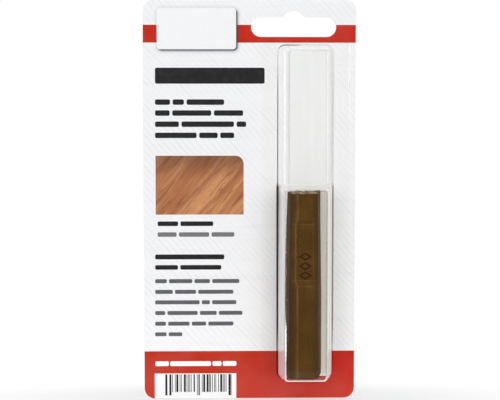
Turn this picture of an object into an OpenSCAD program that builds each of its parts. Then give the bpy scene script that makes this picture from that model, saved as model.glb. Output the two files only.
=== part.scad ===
// Hanging pack with a furniture repair wax stick: a printed card with a hang slot, a clear
// formed blister sealed on its front, and a wax stick and a flat spatula loose inside.
// Millimetres. The card stands in the XZ plane, its front faces -Y and its back lies in y = 0.
// The origin is the centre of the arc over the hang slot, where the hook carries the pack.

/* [Card] */
// Width of the backing card
card_w = 80; // [72:1:110]
// Thickness of the backing card
card_t = 0.6; // [0.3:0.1:1.2]
// Radius of the card's corners
card_r = 4; // [1:0.5:6]
// Card left over the arc of the hang slot
card_over = 3.9; // [3:0.1:8]
// Card left between the hang slot and the blister's flange
card_between = 1.1; // [0.5:0.1:6]
// Card showing right of the flange
card_beside = 2.4; // [1:0.1:6]
// Card showing under the flange
card_under = 2.35; // [1:0.1:12]

/* [Hang slot] */
// Length of the slot from end to end
slot_l = 32; // [24:0.5:36]
// Height of the slot, which sets its round ends too
slot_h = 7.4; // [5:0.1:8.5]
// Radius of the arc over the middle of the slot
arc_r = 4.7; // [4.2:0.1:6]
// Height of the arc's centre over the middle line of the slot
arc_rise = 1.4; // [0.5:0.1:2]
// Radius that blends the arc into the slot
arc_blend = 0.8; // [0.3:0.1:1.5]
// From the slot's end to the card's right edge
slot_edge = 7.4; // [5:0.1:12]

/* [Blister] */
// Thickness of the clear sheet
sheet = 0.4; // [0.2:0.05:0.6]
// How far the upper compartment stands out from the card
upper_d = 8; // [6:0.25:11]
// Radius of the upper compartment's front edges
upper_shoulder = 1.8; // [0.8:0.1:2.5]
// Radius of the lower compartment's front edges
lower_shoulder = 1.2; // [0.7:0.1:1.5]
// Radius where the walls turn out into the flange
foot_r = 0.8; // [0.3:0.1:1.2]
// Radius of the bubble's corners at its foot
corner_r = 2.6; // [2:0.1:4]
// Radius of the bubble's corners at its front
corner_front_r = 1.1; // [0.8:0.1:2]
// Draft of the side walls, in degrees
side_draft = 10.5; // [2:0.5:12]
// Draft of the top wall, in degrees
top_draft = 6; // [2:0.5:12]
// Draft of the step wall between the compartments, in degrees
step_draft = 12; // [4:0.5:20]
// Draft of the bottom wall, in degrees
bottom_draft = 5; // [0.5:0.5:8]
// Width of the flange beside the bubble
flange_side = 6; // [4:0.25:8]
// Width of the flange over the bubble
flange_top = 1.8; // [1.2:0.1:6]
// Width of the flange under the bubble
flange_bottom = 5.5; // [3:0.25:8]
// Radius of the flange's corners
flange_r = 3; // [1:0.25:5]

/* [Wax stick] */
// Length of the wax stick
stick_l = 70; // [50:0.5:90]
// Width of its back, which is its widest face
stick_w = 13.1; // [11.5:0.25:14]
// Thickness from its back to its front face
stick_t = 12; // [9:0.25:16]
// Width where the side faces meet the facets
stick_shoulder_w = 11.2; // [9.5:0.1:12]
// Width of its flat front face
stick_front_w = 6.5; // [5.5:0.1:8]
// How far back the facets reach from the front face
facet_d = 2.5; // [1.5:0.1:4]
// Bevel at both ends of the front face and facets
end_bevel = 0.7; // [0.3:0.1:1.5]
// How far left of the bubble's middle the stick lies
stick_left = 0.7; // [0:0.1:1.5]

/* [Stick label panel] */
// From the stick's top end down to the panel
panel_down = 9.9; // [3:0.1:15]
// Length of the panel along the stick, with its sloped ends
panel_l = 25; // [16:0.5:32]
// Depth of the panel's floor
panel_d = 0.8; // [0.3:0.1:1.2]
// Length of each sloped end of the panel
panel_slope = 2; // [0.5:0.1:2.4]
// Width of each lozenge mark across the stick
mark_w = 4.4; // [2.5:0.1:5]
// Height of each lozenge mark along the stick
mark_h = 2.9; // [2:0.1:3]
// Gap between one mark and the next
mark_gap = 0.6; // [0.3:0.1:0.8]
// Gap between the panel floor's lower end and the lowest mark
mark_low = 0.5; // [0.2:0.1:1]
// Width of the groove that draws each mark
mark_line = 0.6; // [0.3:0.05:0.8]
// Depth of the groove
mark_d = 0.3; // [0.1:0.05:0.5]

/* [Spatula] */
// Length of the spatula
spatula_l = 124; // [115:1:150]
// Width of the spatula
spatula_w = 15.5; // [14:0.25:24]
// Thickness of the spatula
spatula_t = 1.2; // [0.8:0.1:2]
// Radius of the spatula's corners
spatula_r = 1.6; // [1.2:0.1:3]

/* [Clearances] */
// Gap between the card and the loose spatula in front of it
spatula_gap = 0.1; // [0.05:0.05:0.3]
// Gap between the spatula and the stick in front of it
stick_gap = 0.15; // [0.05:0.05:0.3]
// Gap left under the loose pieces at the bottom of the bubble
rest_gap = 0.3; // [0.1:0.05:0.5]
// Play between the stick's front face and the blister
front_play = 0.65; // [0.2:0.05:2]
// Play over the stick, up to the step wall
stick_play = 0.5; // [0.5:0.1:6]
// Play over the spatula, up to the top wall
spatula_play = 1.2; // [0.5:0.1:6]
// Play left of the spatula
left_play = 4; // [2:0.1:6]
// Play right of the spatula
right_play = 0.3; // [0.2:0.05:3]

/* [Hidden] */
$fn = 96;

// Number of points round a bubble corner and of rings round a blend
corner_steps = 6;
blend_steps = 5;
// Number of marks on the label panel
mark_count = 3;
// How far a cut runs past the face it opens
cut = 1;
// How far out the ends of the slot's corner pieces are seated, as a share of the way to its edge
seat_share = 0.97;
// How far the lower form's walls stand inside the upper form's, so that no two walls share a plane
tuck = 0.05;

// Depths in front of the card's front face
spatula_front = spatula_gap + spatula_t;
stick_back = spatula_front + stick_gap;
stick_front = stick_back + stick_t;
lower_d = stick_front + front_play + sheet;

// How far inside the foot's outline the inner face of a drafted wall lies at a depth
function wall_in(depth, draft) = sheet + depth * tan(draft);

// The bubble takes its outline from the spatula, and the lower compartment its step from the stick
side_in = wall_in(spatula_front, side_draft);
bubble_w = spatula_w + left_play + right_play + 2 * side_in;
seat_in = wall_in(spatula_front, bottom_draft) + rest_gap;
bubble_h = seat_in + spatula_l + spatula_play + wall_in(spatula_front, top_draft);

card_top = card_over + arc_r;
card_right = slot_l / 2 + slot_edge;
card_left = card_right - card_w;
bubble_top = -arc_rise - slot_h / 2 - card_between - flange_top;
bubble_bottom = bubble_top - bubble_h;
bubble_right = card_right - card_beside - flange_side;
bubble_left = bubble_right - bubble_w;
card_bottom = bubble_bottom - flange_bottom - card_under;

spatula_left = bubble_left + side_in + left_play;
spatula_bottom = bubble_bottom + seat_in;
stick_middle = (bubble_left + bubble_right) / 2 - stick_left;
stick_bottom = bubble_bottom + wall_in(stick_front, bottom_draft) + rest_gap;

// Where the step wall's line, drawn back to the card, would meet it
step_foot = stick_bottom + stick_l + stick_play + wall_in(stick_front, step_draft);

// Loop of points round a rounded rectangle, anticlockwise from the front, at a depth from the card
function loop(x0, x1, z0, z1, r, depth) = [
    for (c = [[x1 - r, z1 - r, 0], [x0 + r, z1 - r, 90], [x0 + r, z0 + r, 180], [x1 - r, z0 + r, 270]])
        for (i = [0 : corner_steps])
            let (a = c[2] + 90 * i / corner_steps)
                [c[0] + r * cos(a), -card_t - depth, c[1] + r * sin(a)]
];

// Foot blend, wall and front shoulder of a formed shape, as pairs of inset and depth. An inset of
// zero is the drafted wall, and wall is how far this surface lies inside the outer one
function outline(depth, shoulder, wall) = concat(
    [for (i = [0 : blend_steps])
        let (a = 90 * i / blend_steps, r = foot_r + wall)
            [wall - r * (1 - sin(a)), sheet - wall + r * (1 - cos(a))]],
    [for (i = [0 : blend_steps])
        let (a = 90 * i / blend_steps, r = shoulder - wall)
            [wall + r * (1 - cos(a)), depth - shoulder + r * sin(a)]]
);

// Corner radius at a depth: it tightens from the foot to the front, and opens again in the blend
function corner_at(inset, depth, form_d, wall) =
    corner_r + (corner_front_r - corner_r) * min(depth / form_d, 1) - min(inset - wall, 0) - wall;

// One ring of a formed shape. top is the line of its top wall at the card, with the draft it takes
function ring(inset, depth, form_d, wall, top, draft_top, tucked) =
    let (side = inset + tucked + depth * tan(side_draft))
        loop(
            bubble_left + side,
            bubble_right - side,
            bubble_bottom + inset + tucked + depth * tan(bottom_draft),
            top - inset - depth * tan(draft_top),
            corner_at(inset, depth, form_d, wall),
            depth
        );

// Closed skin over a stack of rings of equal length, capped at both ends
module skin(rings) {
    n = len(rings[0]);
    last = len(rings) - 1;
    walls = [
        for (k = [0 : last - 1])
            for (i = [0 : n - 1])
                let (a = k * n + i, b = k * n + (i + 1) % n, c = b + n, d = a + n)
                    each [[a, d, c], [a, c, b]]
    ];
    back = [for (i = [0 : n - 1]) i];
    front = [for (i = [n - 1 : -1 : 0]) last * n + i];
    polyhedron(points = [for (r = rings) each r], faces = concat([back, front], walls));
}

// Upper form, which runs the whole height of the bubble at the shallow depth. start is the depth
// of its back end
module upper_form(wall, start) {
    path = outline(upper_d, upper_shoulder, wall);
    skin(concat(
        [ring(path[0][0], start, upper_d, wall, bubble_top, top_draft, 0)],
        [for (p = path) ring(p[0], p[1], upper_d, wall, bubble_top, top_draft, 0)]
    ));
}

// Lower form, the deep compartment. It starts past the foot blend, inside the upper form
module lower_form(wall) {
    path = outline(lower_d, lower_shoulder, wall);
    front = [for (i = [blend_steps : len(path) - 1]) path[i]];
    skin([for (p = front) ring(p[0], p[1], lower_d, wall, step_foot, step_draft, tuck)]);
}

// Rounded plate in the XZ plane between two depths in front of y = 0
module plate(x0, x1, z0, z1, r, near, far) {
    translate([0, -near, 0])
        rotate([90, 0, 0])
            linear_extrude(far - near)
                rounded(x0, x1, z0, z1, r);
}

// Rounded rectangle with true arcs
module rounded(x0, x1, z0, z1, r) {
    translate([x0 + r, z0]) square([x1 - x0 - 2 * r, z1 - z0]);
    translate([x0, z0 + r]) square([x1 - x0, z1 - z0 - 2 * r]);
    for (x = [x0 + r, x1 - r], z = [z0 + r, z1 - r]) translate([x, z]) circle(r);
}

// Fills the corner between the arc and the slot's edge, round the rounded card between them. Its
// two ends reach a little into the slot, so that no curve only touches another
module arc_corner(slot_top) {
    centre = [sqrt(pow(arc_r + arc_blend, 2) - pow(slot_top + arc_blend, 2)), slot_top + arc_blend];
    start = 180 + atan2(centre[1], centre[0]);
    round_part = [
        for (i = [1 : blend_steps - 1])
            let (a = start + (270 - start) * i / blend_steps)
                centre + arc_blend * [cos(a), sin(a)]
    ];
    seat = centre * arc_r / (arc_r + arc_blend) * seat_share;
    polygon(concat([[0, 0], seat], round_part, [[centre[0], slot_top * seat_share]]));
}

// Hang slot in its own plane: a round-ended slot with an arc over its middle
module hang_slot() {
    slot_top = slot_h / 2 - arc_rise;
    end_x = (slot_l - slot_h) / 2;
    translate([-end_x, slot_top - slot_h]) square([2 * end_x, slot_h]);
    for (side = [-1, 1])
        translate([side * end_x, -arc_rise]) circle(slot_h / 2);
    circle(arc_r);
    for (side = [0, 1])
        mirror([side, 0]) arc_corner(slot_top);
}

module backing_card() {
    color([0.94, 0.94, 0.95])
        difference() {
            plate(card_left, card_right, card_bottom, card_top, card_r, 0, card_t);
            translate([0, cut, 0])
                rotate([90, 0, 0])
                    linear_extrude(card_t + 2 * cut)
                        hang_slot();
        }
}

module blister() {
    color([0.86, 0.9, 0.92, 0.35])
        difference() {
            union() {
                plate(
                    bubble_left - flange_side, bubble_right + flange_side,
                    bubble_bottom - flange_bottom, bubble_top + flange_top,
                    flange_r, card_t, card_t + sheet
                );
                upper_form(0, sheet / 2);
                lower_form(0);
            }
            upper_form(sheet, -cut);
            lower_form(sheet);
        }
}

// Section of the stick, its back on y = 0 and its front face towards -y
module stick_section() {
    polygon([
        [-stick_w / 2, 0],
        [-stick_shoulder_w / 2, facet_d - stick_t],
        [-stick_front_w / 2, -stick_t],
        [stick_front_w / 2, -stick_t],
        [stick_shoulder_w / 2, facet_d - stick_t],
        [stick_w / 2, 0]
    ]);
}

// Side views in the YZ plane, extruded right across the stick. z is up from its bottom end
module across_stick(points) {
    translate([-stick_w / 2 - cut, 0, 0])
        rotate([90, 0, 90])
            linear_extrude(stick_w + 2 * cut)
                polygon(points);
}

// Groove round a lozenge, in the XZ plane
module lozenge(w, h) {
    polygon([[-w / 2, 0], [0, h / 2], [w / 2, 0], [0, -h / 2]]);
}

module mark_cut() {
    rotate([90, 0, 0])
        linear_extrude(stick_t)
            difference() {
                lozenge(mark_w, mark_h);
                lozenge(mark_w - 2 * mark_line, mark_h - 2 * mark_line * mark_h / mark_w);
            }
}

module wax_stick() {
    floor_y = panel_d - stick_t;
    floor_high = stick_l - panel_down - panel_slope;
    floor_low = stick_l - panel_down - panel_l + panel_slope;
    lowest_mark = floor_low + mark_low + mark_h / 2;
    color([0.33, 0.23, 0.12])
        translate([stick_middle, -card_t - stick_back, stick_bottom])
            difference() {
                linear_extrude(stick_l) stick_section();
                for (end = [0, 1])
                    translate([0, 0, end * stick_l])
                        mirror([0, 0, end])
                            across_stick([
                                [-stick_t - cut, -cut], [end_bevel - stick_t, -cut],
                                [end_bevel - stick_t, 0], [-stick_t, end_bevel], [-stick_t - cut, end_bevel]
                            ]);
                across_stick([
                    [-stick_t, floor_high + panel_slope], [floor_y, floor_high],
                    [floor_y, floor_low], [-stick_t, floor_low - panel_slope],
                    [-stick_t - cut, floor_low - panel_slope], [-stick_t - cut, floor_high + panel_slope]
                ]);
                for (i = [0 : mark_count - 1])
                    translate([0, floor_y + mark_d, lowest_mark + i * (mark_h + mark_gap)])
                        mark_cut();
            }
}

module spatula() {
    color([0.92, 0.91, 0.88])
        plate(
            spatula_left, spatula_left + spatula_w, spatula_bottom, spatula_bottom + spatula_l,
            spatula_r, card_t + spatula_gap, card_t + spatula_front
        );
}

backing_card();
blister();
wax_stick();
spatula();
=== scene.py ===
import math
import random

import bmesh
import bpy
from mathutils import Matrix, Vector, noise

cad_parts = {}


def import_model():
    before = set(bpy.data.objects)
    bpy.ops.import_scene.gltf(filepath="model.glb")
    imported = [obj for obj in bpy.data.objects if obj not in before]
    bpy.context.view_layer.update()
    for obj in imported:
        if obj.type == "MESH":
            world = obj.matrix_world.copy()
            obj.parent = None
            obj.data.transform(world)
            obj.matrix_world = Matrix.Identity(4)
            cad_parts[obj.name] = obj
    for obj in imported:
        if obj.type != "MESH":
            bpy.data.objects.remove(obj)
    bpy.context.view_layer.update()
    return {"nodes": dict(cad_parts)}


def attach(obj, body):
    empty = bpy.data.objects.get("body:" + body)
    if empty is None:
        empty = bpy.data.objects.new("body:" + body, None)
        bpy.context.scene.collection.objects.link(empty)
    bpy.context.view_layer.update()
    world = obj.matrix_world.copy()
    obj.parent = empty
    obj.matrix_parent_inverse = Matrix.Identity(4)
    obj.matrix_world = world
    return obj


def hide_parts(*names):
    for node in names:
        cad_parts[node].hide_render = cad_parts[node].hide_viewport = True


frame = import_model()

# A wax stick and a spatula in a clear blister that is sealed to a printed card. Sizes and places
# are in millimetres in the CAD frame. MM turns them into metres.
MM = 0.001

# Sizes and places of the solids
CARD_T = 0.6
CARD_LOW = -142.4
BAND_TOP = (-7.25, -0.6)
BAND_LOW = -124.2

# blister
SHEET = 0.4
UPPER_D = 8.0
LOWER_D = 14.5
UPPER_SHOULDER = 1.8
LOWER_SHOULDER = 0.7
FOOT_R = 0.65
CORNER_R = 2.6
CORNER_FRONT_R = 1.1
SIDE_DRAFT = (8.4, 11.4)
TOP_DRAFT = 6.0
STEP_DRAFT = 12.0
BOTTOM_DRAFT = 5.0
BUBBLE_X = (-5.9, 14.85)
BUBBLE_Z = (-134.55, -8.25)
STEP_FOOT = -58.92
STEP_FILLET = 1.0
STEP_ROOT = 0.3
STEP_SUNK = 0.02
FLANGE = (-12.08, 20.998, -140.05, -6.2)
FLANGE_R = 3.0
FLANGE_LIFT = 0.03
TUCK = 0.05
SHARP_BEND = 24.0

# stick
STICK_X = 3.759
STICK_Z = (-132.674, -62.674)
STICK_BACK = -2.05
STICK_W = 13.1
STICK_T = 12.0
SHOULDER_X = (-5.4, 4.6)
FRONT_X = (-3.25, 2.7)
FRONT_TAPER = 0.9
FACET_D = 2.5
END_BEVEL = 0.7
PANEL_DOWN = 9.9
PANEL_L = 25.0
PANEL_D = 0.8
PANEL_SLOPE = 2.0
MARK_W = 4.8
MARK_H = 2.9
MARK_GAP = 0.6
MARK_LOW = 0.5
MARK_LINE = 0.7
MARK_D = 0.36
BEAD = 0.14
PANEL_HI = STICK_Z[1] - PANEL_DOWN
PANEL_LO = PANEL_HI - PANEL_L
FLOOR_HI = PANEL_HI - PANEL_SLOPE
FLOOR_LO = PANEL_LO + PANEL_SLOPE
MARK_MIDDLE = FLOOR_LO + MARK_LOW + MARK_H / 2
MARKS = [MARK_MIDDLE + i * (MARK_H + MARK_GAP) for i in range(3)]
# small dents down the panel's left: depth, half sizes and places
DENT_D = 0.12
DENT_HALF = (0.42, 0.5)
DENTS = [(-2.6 + 0.35 * math.sin(2.3 * k), FLOOR_HI - 0.7 - 1.15 * k) for k in range(11)]
# the stick narrows from this height to its top: its sides, and its shoulders left and right
TAPER_FROM = -103.0
LEFT_TAPER = 1.15
RIGHT_TAPER = 0.42
RIGHT_IN = 0.26
SHOULDER_TAPER = (0.5, -0.25)
# radii of the section's six edges, and steps along each of its sides
EDGE_RADII = (0.35, 0.45, 0.3, 0.3, 0.45, 0.35)
SIDE_STEPS = (12, 8, 72, 8, 12, 10)
# distance of the section rings on the panel, within END_ZONE of an end, and elsewhere
PANEL_STEP = 0.12
END_STEP = 0.14
PLAIN_STEP = 0.45
END_ZONE = 1.6
# what the rough surface lies inside the plain section, how far its ends are eased, and the height
# over which its upper edge is torn
ROUGH_IN = 0.07
END_EASE = 0.3
TORN_H = 1.2

# spatula
SPATULA_X = (-1.441, 14.059)
SPATULA_Z = (-133.737, -9.737)
SPATULA_Y = (-1.9, -0.7)
SPATULA_R = 1.6
SPATULA_EDGE = 0.2

# films of ink
PRINT_NEAR = -CARD_T - 0.004
PRINT_T = 0.012

# Camera
CAMERA_AT = (-27.18, -499.21, -30.84)
CAMERA_YAW = 1.239
CAMERA_PITCH = -4.085
CAMERA_LENS = 95.1

cam_data = bpy.data.cameras.new("camera")
cam_data.lens = CAMERA_LENS
cam_data.sensor_width = 36
cam_data.clip_start = 0.01
cam_data.clip_end = 20
camera = bpy.data.objects.new("camera", cam_data)
camera.location = Vector(CAMERA_AT) * MM
camera.rotation_euler = (math.radians(90 + CAMERA_PITCH), 0, math.radians(-CAMERA_YAW))
bpy.context.collection.objects.link(camera)
bpy.context.scene.camera = camera
bpy.context.scene.view_settings.view_transform = "Standard"


# Node helpers
def srgb(r, g, b):
    """Linear colour with alpha from 0-255 values."""
    out = []
    for v in (r, g, b):
        c = v / 255
        out.append(c / 12.92 if c <= 0.04045 else ((c + 0.055) / 1.055) ** 2.4)
    return (*out, 1.0)


class Nodes:
    """Short way to write the node tree of a material or a world."""

    def __init__(self, name, world=False):
        self.owner = bpy.data.worlds.new(name) if world else bpy.data.materials.new(name)
        self.owner.use_nodes = True
        self.tree = self.owner.node_tree
        self.tree.nodes.clear()
        self.out = self.add("ShaderNodeOutputWorld" if world else "ShaderNodeOutputMaterial")

    def add(self, kind, **props):
        n = self.tree.nodes.new(kind)
        for k, v in props.items():
            setattr(n, k, v)
        return n

    def put(self, value, socket):
        if isinstance(value, bpy.types.NodeSocket):
            self.tree.links.new(value, socket)
        else:
            socket.default_value = value

    def math(self, op, a, b=0.0):
        n = self.add("ShaderNodeMath", operation=op)
        self.put(a, n.inputs[0])
        self.put(b, n.inputs[1])
        return n.outputs[0]

    def times(self, first, *others):
        for other in others:
            first = self.math("MULTIPLY", first, other)
        return first

    def rest(self, share):
        """What a share leaves of one."""
        return self.math("SUBTRACT", 1.0, share)

    def ramp(self, value, low, high, to_low=0.0, to_high=1.0, kind="SMOOTHSTEP"):
        n = self.add("ShaderNodeMapRange", interpolation_type=kind)
        for i, v in enumerate((value, low, high, to_low, to_high)):
            self.put(v, n.inputs[i])
        return n.outputs[0]

    def mix(self, factor, a, b, blend="MIX"):
        n = self.add("ShaderNodeMix", data_type="RGBA", blend_type=blend)
        self.put(factor, n.inputs[0])
        self.put(a, n.inputs[6])
        self.put(b, n.inputs[7])
        return n.outputs[2]

    def place(self, scale=(1000, 1000, 1000), turn=(0, 0, 0)):
        """Object coordinates in millimetres, scaled and turned."""
        coord = self.add("ShaderNodeTexCoord").outputs["Object"]
        n = self.add("ShaderNodeMapping")
        self.put(coord, n.inputs[0])
        n.inputs["Rotation"].default_value = [math.radians(a) for a in turn]
        n.inputs["Scale"].default_value = scale
        return n.outputs[0]

    def toward(self, a, b, share):
        """The value between a and b at the given share."""
        return self.math("ADD", a, self.times(self.math("SUBTRACT", b, a), share))

    def axes(self, vector):
        """The three parts of a vector."""
        split = self.add("ShaderNodeSeparateXYZ")
        self.put(vector, split.inputs[0])
        return split.outputs

    def face(self):
        """The three parts of the direction that the surface faces in."""
        return self.axes(self.add("ShaderNodeTexCoord").outputs["Normal"])

    def grazing(self, normal=None):
        """0 where the surface is seen square on, 1 where it is seen along itself."""
        n = self.add("ShaderNodeLayerWeight")
        n.inputs["Blend"].default_value = 0.5
        if normal is not None:
            self.put(normal, n.inputs["Normal"])
        return n.outputs["Facing"]

    def mark(self, name):
        """A value that the mesh carries at its points."""
        return self.add("ShaderNodeAttribute", attribute_name=name).outputs["Fac"]

    def noise(self, where, scale, detail=3.0, rough=0.5, distort=0.0):
        n = self.add("ShaderNodeTexNoise")
        self.put(where, n.inputs["Vector"])
        n.inputs["Scale"].default_value = scale
        n.inputs["Detail"].default_value = detail
        n.inputs["Roughness"].default_value = rough
        n.inputs["Distortion"].default_value = distort
        return n.outputs[0]

    def bump(self, height, strength, distance):
        n = self.add("ShaderNodeBump")
        n.inputs["Strength"].default_value = strength
        n.inputs["Distance"].default_value = distance
        self.put(height, n.inputs["Height"])
        return n.outputs[0]

    def principled(self, colour, rough, normal=None, **values):
        n = self.add("ShaderNodeBsdfPrincipled")
        self.put(colour, n.inputs["Base Color"])
        self.put(rough, n.inputs["Roughness"])
        if normal is not None:
            self.put(normal, n.inputs["Normal"])
        for k, v in values.items():
            self.put(v, n.inputs[k.replace("_", " ")])
        return n.outputs[0]

    def transparent(self, colour):
        n = self.add("ShaderNodeBsdfTransparent")
        self.put(colour, n.inputs["Color"])
        return n.outputs[0]

    def background(self, colour, strength):
        n = self.add("ShaderNodeBackground")
        self.put(colour, n.inputs["Color"])
        self.put(strength, n.inputs["Strength"])
        return n.outputs[0]

    def blend(self, factor, a, b):
        """Shader a, turning into shader b with the factor."""
        n = self.add("ShaderNodeMixShader")
        for i, v in enumerate((factor, a, b)):
            self.put(v, n.inputs[i])
        return n.outputs[0]

    def rays(self, *kinds):
        """1 for rays of the given kinds, otherwise 0."""
        path = self.add("ShaderNodeLightPath").outputs
        found = path["Is %s Ray" % kinds[0]]
        for kind in kinds[1:]:
            found = self.math("MAXIMUM", found, path["Is %s Ray" % kind])
        return found

    def let_light_by(self, shader):
        """The shader with light and shadows passing it nearly unchanged."""
        return self.blend(self.rays("Shadow", "Diffuse"), shader, self.transparent(LIGHT_KEPT))

    def finish(self, shader):
        self.put(shader, self.out.inputs["Surface"])
        return self.owner


# Materials. A pair of heights or places holds the two ends of a soft change.
PURE = (1, 1, 1, 1)
# printed card
WHITE = srgb(243, 243, 244)
RULE_GREY = srgb(140, 143, 152)
RED = srgb(194, 36, 14)
RED_LOW = srgb(197, 58, 43)
RED_DEEP = srgb(192, 22, 2)
RED_SIDE = srgb(187, 46, 22)
RED_FINE = srgb(226, 98, 84)
RED_X = (10.0, -20.0)
RED_Z = (-142.0, -130.0)
INK = srgb(24, 22, 24)
INK_ROUGH = (0.36, 0.46)
INK_UNEVEN = 0.3
HATCH_TURN = -48.0
HATCH_GAP = 1.9
# shadow under the badge: middle in x and z, half its width and height, and corner radius
SHADOW_AT = (-36.05, -2.5)
SHADOW_HALF = (14.9, 7.7)
SHADOW_R = 1.6
SHADOW_TONE = srgb(50, 55, 70)

# clear sheet: how much of the light passes it, its mirror, and its milky haze, a painted reflection
# that whitens it at a glancing angle
LIGHT_KEPT = (0.996, 0.996, 0.997, 1)
SHEET_TINT = (0.992, 0.995, 0.997, 1)
SEALED_TINT = (1, 0.997, 0.988, 1)
SHEET_MIRROR = 0.014
SEALED_MIRROR = 0.004
SHEET_GRAZING = 0.6
BEND_SHINE = 0.12
EDGE_SHINE = 0.62
SHEEN_HAZE_POWER = 6.4
SHEEN_HAZE_GAIN = 2.0
SHEEN_HAZE_MOST = 0.9
# warmth of the painted reflection on the lower right wall, where the brown wax is mirrored
WARM_REFLECTION = (1.0, 0.965, 0.885, 1)
# where its parts begin and end
FOOT_Y = (-2.6, -2.0)
LEFT_X = (4.0, 0.0)
LOWER_Z = (-59.5, -62.0)
LOWEST_Z = (-119.0, -125.0)
END_WALL_Z = (-126.0, -130.0)
TOP_END_Z = (-16.0, -14.0)
LEFT_EDGE_Z = (-106.0, -116.0)
END_EDGE_Z = (-130.5, -132.0)
# painted reflection (milky haze) of the lowest part of the walls, left and right, and its mirror
LOW_SHEEN_HAZE = (0.62, 0.97)
LOW_MIRROR = 0.04
# painted shade: grey at the bends at the front, a dark line inside the right one, and a brownish
# shade on the wall at the lower end
BEND_SHADE = (0.82, 0.82, 0.81, 1)
EDGE_SHADE = (0.95, 0.95, 0.95, 1)
RIGHT_BEND_SHADE = (0.66, 0.62, 0.6, 1)
START_SHADE_LINE = 0.6
END_SHADE_TINT = (0.62, 0.5, 0.42, 1)
END_SHADED = 0.6
END_CLEAR = 0.75
# painted highlight: a light line along the flange's right edge
RIM_IN = (0.65, 0.3)
RIM_LIGHT = 0.4
RIM_FADE = (-45.0, -12.0)
# painted shade: tone of the dark foot line beside the upper and the lower compartment
FOOT_SHADE_LEFT = ((0.24, 0.23, 0.21, 1), (0.09, 0.07, 0.055, 1))
FOOT_SHADE_RIGHT = ((0.82, 0.82, 0.81, 1), (0.34, 0.3, 0.28, 1))
# the same over the low band and at the very top, left and right, with their heights
FOOT_SHADE_LOW = ((0.42, 0.38, 0.36, 1), (0.78, 0.74, 0.72, 1))
FOOT_FADE = (-112.0, -128.0)
FOOT_SHADE_TOP = ((0.8, 0.8, 0.79, 1), (0.93, 0.93, 0.92, 1))
TOP_FADE = (-30.0, -9.0)
# the walls of the upper compartment are clearer and shine less, and its front bend is fainter
UPPER_CLEAR = 0.92
UPPER_DULL = 0.8
UPPER_BEND = 0.35
# grey shade on the left wall of the lower compartment
WALL_SHADE = 0.75
SHADE_Z = (-108.0, -64.0)
SHADE_Y = (-9.5, -2.6)
SHADE_GREY = (0.3, 0.29, 0.28, 1)

# wax: darker low down, with painted shade on its facets and in its grooves, and pale along its
# torn upper edge, a painted highlight
WAX_LOW_Z = (-96.0, -112.0)
RIGHT_FACET_SHADE_X = (5.0, 6.5)
TORN_DOWN = (0.7, 0.35)
TORN_RAG = 1.5
TORN_Y = (-9.5, -13.2)

# spatula: light that comes through the wax warms its lower part
SPATULA_WARM = (1.0, 0.98, 0.905, 1)
SPATULA_WARM_Z = (-60.0, -64.0)


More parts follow.
